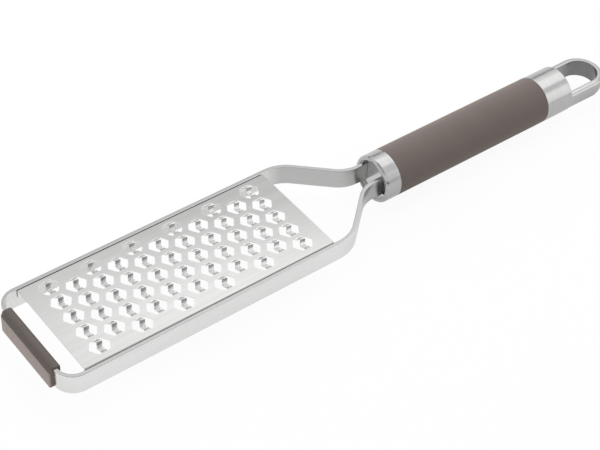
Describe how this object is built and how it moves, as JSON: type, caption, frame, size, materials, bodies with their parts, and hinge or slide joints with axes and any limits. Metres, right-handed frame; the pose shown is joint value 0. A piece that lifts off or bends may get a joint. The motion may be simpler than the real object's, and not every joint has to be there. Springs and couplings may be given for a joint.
{
  "type": "hand grater",
  "caption": "Flat hand grater: pierced steel plate with folded cutting bands in a bent steel strip frame, with a front foot, a round grip and a hanging loop at the end.",
  "frame": {"origin": "under the middle of the whole grater, level with the underside of the handle", "axes": "+X from the front foot to the hanging loop, +Y across the plate, +Z out of the plate's cutting side"},
  "size_m": [0.3502, 0.0614, 0.025],
  "materials": {
    "plate_steel": "satin sheet",
    "strip_steel": "satin, brushed along the bar",
    "turned_steel": "satin, turned",
    "inner_steel": "machined",
    "grip_plastic": "matte taupe",
    "foot_plastic": "matte taupe",
    "core_plastic": "moulded, hidden"
  },
  "bodies": {
    "root": {"grater_plate": "plate_steel", "frame_strip": "strip_steel", "front_foot": "foot_plastic", "front_ferrule": "turned_steel", "rear_cap": "turned_steel", "grip_sleeve": "grip_plastic", "handle_core": "core_plastic", "tang_block": "inner_steel", "tie_rod": "inner_steel"}
  },
  "joints": []
}
